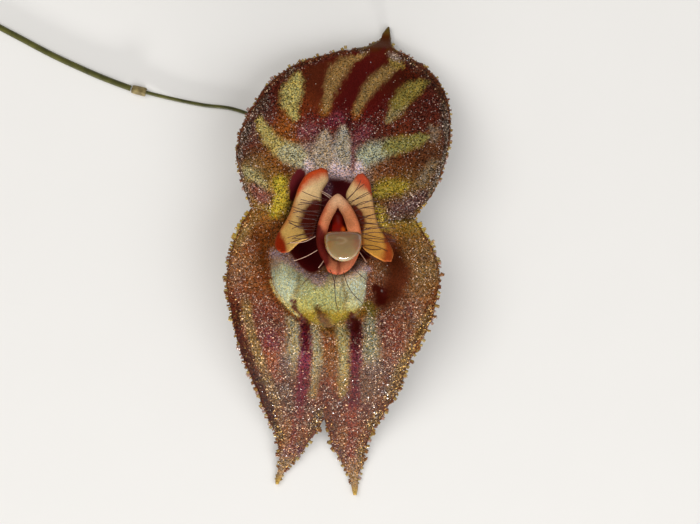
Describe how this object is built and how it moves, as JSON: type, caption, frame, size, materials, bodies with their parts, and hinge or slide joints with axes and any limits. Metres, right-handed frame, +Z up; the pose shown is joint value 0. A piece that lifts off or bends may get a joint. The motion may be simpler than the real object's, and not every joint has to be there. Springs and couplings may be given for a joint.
{
  "type": "orchid flower",
  "caption": "Small orchid flower laid face up: round dorsal sepal, forked synsepal, two-lobed petals, hooded lip round a column, with ovary and cut thread-like stalk.",
  "frame": {"origin": "the flat spot under the ovary, on the surface that the flower lies on", "axes": "+Z up out of the surface and out of the flower's face; +Y from the forked synsepal towards the dorsal sepal; +X to the right in the picture"},
  "size_m": [0.0149, 0.0154, 0.004],
  "materials": {
    "dorsal_sepal": "thin fleshy blade, maroon with cream-green stripes, covered in sparkling cells",
    "synsepal": "thin fleshy blade, pale green swelling above, brown-pink lobes with purple mid-veins",
    "petal": "smooth, cream-yellow with orange-red ends and a crimson base",
    "lip": "smooth peach-orange, fringed with long fine hairs",
    "column": "glossy dark red",
    "anther_cap": "glossy, translucent olive-cream",
    "pollinia": "waxy yellow",
    "ovary": "ribbed, olive green",
    "stalk": "wiry, smooth, olive green",
    "bract": "dry, papery"
  },
  "bodies": {
    "root": {"dorsal_sepal": "dorsal_sepal", "synsepal": "synsepal", "petal_left": "petal", "petal_right": "petal", "lip": "lip", "column": "column", "anther_cap": "anther_cap", "pollinia": "pollinia", "ovary": "ovary", "pedicel": "stalk", "floral_bract": "bract", "peduncle": "stalk"}
  },
  "joints": []
}
